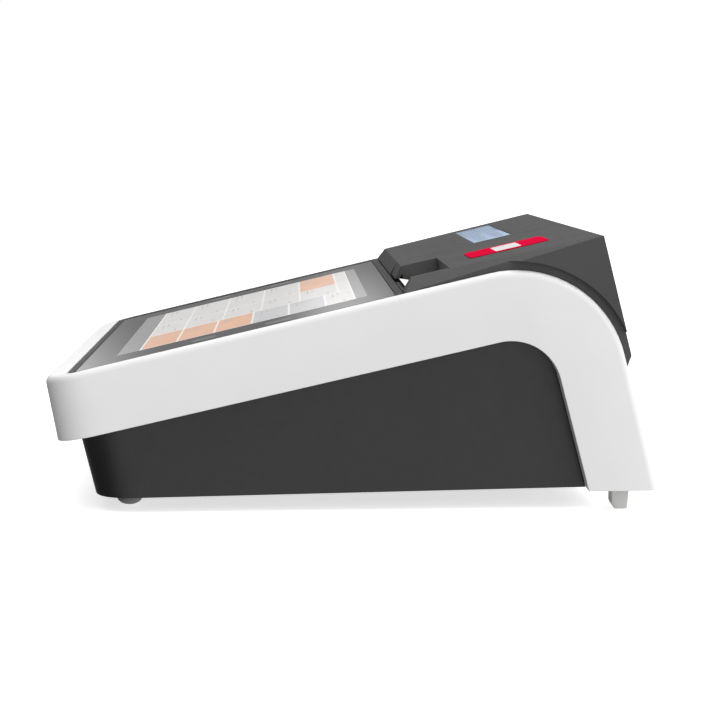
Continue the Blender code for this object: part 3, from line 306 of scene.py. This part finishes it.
def make_picture():
    """The lit picture: a pale page of tiles between two grey strips."""
    lit = GLASS_TOP + LAYER
    page = (ACTIVE_X, (STRIP_FRONT, STRIP_REAR), PICTURE_RADIUS)
    flat_piece("picture_page", [page], lit, PICTURE_GAP, "base")
    flat_piece("picture_strips", [
        (ACTIVE_X, (ACTIVE_U[0], STRIP_FRONT - STRIP_GAP), PICTURE_RADIUS),
        (ACTIVE_X, (STRIP_REAR + STRIP_GAP, ACTIVE_U[1]), PICTURE_RADIUS)
    ], lit, PICTURE_STRIP, "base")
    orange = [tile(NEAR_X, NEAR_ROWS, row) for row in (0, 1, 2)] + [tile(FAR_X, WIDE_ROWS, 4)]
    grey = [tile(NEAR_X, NEAR_ROWS, row) for row in (3, 4)]
    white = [tile(NEAR_X, NEAR_ROWS, 5)]
    white += [tile(x, WIDE_ROWS, row) for x in (MIDDLE_X, FAR_X) for row in range(6) if (x, row) != (FAR_X, 4)]
    for name, shapes, paint in (
        ("picture_tiles_orange", orange, PICTURE_ORANGE), ("picture_tiles_grey", grey, PICTURE_GREY),
        ("picture_tiles_white", white, PICTURE_WHITE)
    ):
        flat_piece(name, shapes, lit + LAYER, paint, "base")
    bars = []
    for (low, high), (front, rear), _ in orange + grey + white:
        if rear - front > SHORTEST_LINED:
            left, right = low + LINE_MARGIN, high - LINE_MARGIN
            for start, end, share in TITLE_LINES:
                bars.append(((left, left + (high - low) * share), (front + start, front + end), 0.25))
            start, end, length = PRICE_LINE
            bars.append(((right - length, right), (rear + start, rear + end), 0.35))
    flat_piece("picture_lines", bars, lit + 2 * LAYER, PICTURE_LINE, "base")
    flat_piece("sensor_windows", [
        (sorted(side * x for x in SENSOR_X), u, 1.0) for side in (-1, 1) for u in SENSOR_U
    ], lit, SENSOR, "base")


# ---------------------------------------------------------------- customer display and label

HOUSING_FRONT_TOP, HOUSING_REAR_TOP = (162.7, 5.25), (250.8, 4.7)  # (u, n) of the flat top's two ends
TOP_LENGTH = HOUSING_REAR_TOP[0] - HOUSING_FRONT_TOP[0]
TOP_RISE = HOUSING_REAR_TOP[1] - HOUSING_FRONT_TOP[1]
TOP_SLOPE = atan2(TOP_RISE, TOP_LENGTH)


def on_top(u):
    """The plane of the housing's top, with its origin at u."""
    height = HOUSING_FRONT_TOP[1] + (u - HOUSING_FRONT_TOP[0]) * TOP_RISE / TOP_LENGTH
    return DECK @ Matrix.Translation((0, u * MM, height * MM)) @ Matrix.Rotation(TOP_SLOPE, 4, "X")


CELL = glassy("display cell", (0.29, 0.385, 0.53), 0.10, 0.4, 0.25, 0.05)

# Millimetres, apart from the two heights, in metres above the housing's top.
WINDOW_X, WINDOW_U, WINDOW_TOP = -50.5, 214.8, -0.2 * MM
CELL_COLUMNS, CELL_PITCH, ROW_OFFSET = 20, 4.2, 4.4
CELL_HALF, CELL_RADIUS = (1.55, 2.9), 0.3
LABEL_U, LABEL_TOP = 212.6, 0.35 * MM
LABEL_PANEL = (51.4, 74.0), (-6.2, 6.2), 0.8


def make_display_cells():
    """The two rows of twenty character cells, unlit."""
    cells = []
    for row in (-ROW_OFFSET, ROW_OFFSET):
        for column in range(CELL_COLUMNS):
            middle = WINDOW_X + (column - (CELL_COLUMNS - 1) / 2) * CELL_PITCH
            x = (middle - CELL_HALF[0], middle + CELL_HALF[0])
            cells.append((x, (row - CELL_HALF[1], row + CELL_HALF[1]), CELL_RADIUS))
    flat_piece("customer_display_cells", cells, WINDOW_TOP + LAYER, CELL, "base",
               on_top(WINDOW_U))


def make_label_panel():
    """The plain white panel on the red label."""
    flat_piece("label_panel", [LABEL_PANEL], LABEL_TOP + LAYER, LABEL_WHITE, "lid",
               on_top(LABEL_U))


make_picture()
make_display_cells()
make_label_panel()


# ---------------------------------------------------------------- floor, light and camera

FLOOR_HALF = 6
FLOOR_DROP = 0.2 * MM  # below the feet
FLOOR_GLOW = 0.65


def make_floor():
    """A pale floor, whose glow keeps the shadow on it faint."""
    bm = bmesh.new()
    bmesh.ops.create_grid(bm, x_segments=8, y_segments=8, size=FLOOR_HALF)
    mesh = bpy.data.meshes.new("floor")
    bm.to_mesh(mesh)
    bm.free()
    made, tree, shader = start_material("floor")
    tree.links.new(tint(tree, noise(tree, 0.4, 3), (0.86, 0.86, 0.86), 0.005), shader.inputs["Base Color"])
    shader.inputs["Roughness"].default_value = 0.9
    shader.inputs["Specular IOR Level"].default_value = 0.0
    shader.inputs["Emission Color"].default_value = (1, 1, 1, 1)
    shader.inputs["Emission Strength"].default_value = FLOOR_GLOW
    mesh.materials.append(made)
    floor = bpy.data.objects.new("floor", mesh)
    bpy.context.scene.collection.objects.link(floor)
    floor.location.z = -FLOOR_DROP
    floor.visible_diffuse = floor.visible_glossy = floor.visible_shadow = False


def make_area(name, place, target, size, power):
    data = bpy.data.lights.new(name, "AREA")
    data.shape = "RECTANGLE"
    data.size, data.size_y = size
    data.energy = power
    light = bpy.data.objects.new(name, data)
    bpy.context.scene.collection.objects.link(light)
    light.location = place
    light.rotation_euler = (Vector(target) - Vector(place)).to_track_quat("-Z", "Y").to_euler()


def make_card(name, corners, glow):
    """A black studio card that glows, out of sight of the camera; its corners are given in order."""
    bm = bmesh.new()
    bm.faces.new([bm.verts.new(corner) for corner in corners])
    mesh = bpy.data.meshes.new(name)
    bm.to_mesh(mesh)
    bm.free()
    made, tree, shader = start_material(name)
    shader.inputs["Base Color"].default_value = (0, 0, 0, 1)
    shader.inputs["Specular IOR Level"].default_value = 0.0
    shader.inputs["Roughness"].default_value = 1.0
    shader.inputs["Emission Color"].default_value = (1, 1, 1, 1)
    tree.links.new(glow(tree), shader.inputs["Emission Strength"])
    mesh.materials.append(made)
    card = bpy.data.objects.new(name, mesh)
    bpy.context.scene.collection.objects.link(card)
    card.visible_camera = False
    return card


def falloff(tree, centre, reach, low, high):
    """From high at the centre to low at the distance reach from it."""
    place = tree.nodes.new("ShaderNodeTexCoord")
    away = tree.nodes.new("ShaderNodeVectorMath")
    away.operation = "DISTANCE"
    away.inputs[1].default_value = centre
    tree.links.new(place.outputs["Object"], away.inputs[0])
    made = tree.nodes.new("ShaderNodeMapRange")
    made.interpolation_type = "SMOOTHSTEP"
    made.inputs["From Min"].default_value = 0.0
    made.inputs["From Max"].default_value = reach
    made.inputs["To Min"].default_value = high
    made.inputs["To Max"].default_value = low
    tree.links.new(away.outputs["Value"], made.inputs["Value"])
    return made.outputs["Result"]


def sum_of(tree, values):
    total = values[0]
    for value in values[1:]:
        both = tree.nodes.new("ShaderNodeMath")
        both.operation = "ADD"
        tree.links.new(total, both.inputs[0])
        tree.links.new(value, both.inputs[1])
        total = both.outputs["Value"]
    return total


CARD_X = -0.6
CARD_GLOW = 0.22


def card_glow(tree):
    """Dim in the middle, with a bright patch to the front, a paler one to the rear, and rising to its edge."""
    return sum_of(tree, [
        falloff(tree, (CARD_X, -0.34, 0.16), 0.17, 0.0, 1.35),
        falloff(tree, (CARD_X, -0.02, 0.198), 0.078, 0.0, 0.75),
        falloff(tree, (CARD_X, -0.05, 0.15), 1.3, 1.0, CARD_GLOW)
    ])


FRONT_DIM = 0.07  # the room's light from the object's front
WORLD_GLOW = 1.06  # from its sides, its rear and overhead
REAR_GLOW = 0.12  # added from the rear


def make_world():
    """A white room, dim towards the object's front and brighter to its rear; the camera sees plain white."""
    world = bpy.data.worlds.new("studio")
    bpy.context.scene.world = world
    world.use_nodes = True
    tree = world.node_tree
    place = tree.nodes.new("ShaderNodeTexCoord")
    axes = tree.nodes.new("ShaderNodeSeparateXYZ")
    tree.links.new(place.outputs["Generated"], axes.inputs[0])

    def ramp(value, start, end, low, high):
        made = tree.nodes.new("ShaderNodeMapRange")
        made.interpolation_type = "SMOOTHSTEP"
        for socket, number in (("From Min", start), ("From Max", end), ("To Min", low), ("To Max", high)):
            made.inputs[socket].default_value = number
        tree.links.new(value, made.inputs["Value"])
        return made.outputs["Result"]

    def combine(operation, first, second):
        made = tree.nodes.new("ShaderNodeMath")
        made.operation = operation
        tree.links.new(first, made.inputs[0])
        tree.links.new(second, made.inputs[1])
        return made.outputs["Value"]

    to_front = ramp(axes.outputs["Y"], -0.70, -0.05, FRONT_DIM, WORLD_GLOW)
    to_rear = ramp(axes.outputs["Y"], 0.20, 0.80, 0.0, REAR_GLOW)
    overhead = ramp(axes.outputs["Z"], 0.70, 0.95, 0.0, WORLD_GLOW)
    light_path = tree.nodes.new("ShaderNodeLightPath")
    room = combine("ADD", combine("MAXIMUM", to_front, overhead), to_rear)
    tree.links.new(combine("MAXIMUM", room, light_path.outputs["Is Camera Ray"]),
                   tree.nodes["Background"].inputs["Strength"])
    tree.nodes["Background"].inputs["Color"].default_value = (1, 1, 1, 1)


def make_studio():
    make_world()
    make_area("overhead", (0.15, 0.1, 1.5), (0, 0, 0.08), (1.4, 1.4), 15.0)
    card = make_card("reflection_card", [
        (CARD_X, -1.4, 0.0), (CARD_X, 1.3, 0.0), (CARD_X, 1.3, 1.2), (CARD_X, -1.4, 1.2)
    ], card_glow)
    card.visible_diffuse = card.visible_shadow = card.visible_transmission = False


def make_camera():
    data = bpy.data.cameras.new("camera")
    data.sensor_width = 36
    data.lens = 77.4
    camera = bpy.data.objects.new("camera", data)
    bpy.context.scene.collection.objects.link(camera)
    camera.location = (0.8066, -0.0273, 0.1674)
    swing, dip = radians(2.5427), radians(7.8817)
    ahead = Vector((-cos(swing) * cos(dip), sin(swing) * cos(dip), -sin(dip)))
    camera.rotation_euler = ahead.to_track_quat("-Z", "Y").to_euler()
    bpy.context.scene.camera = camera


make_floor()
make_studio()
make_camera()
bpy.context.scene.view_settings.view_transform = "Standard"
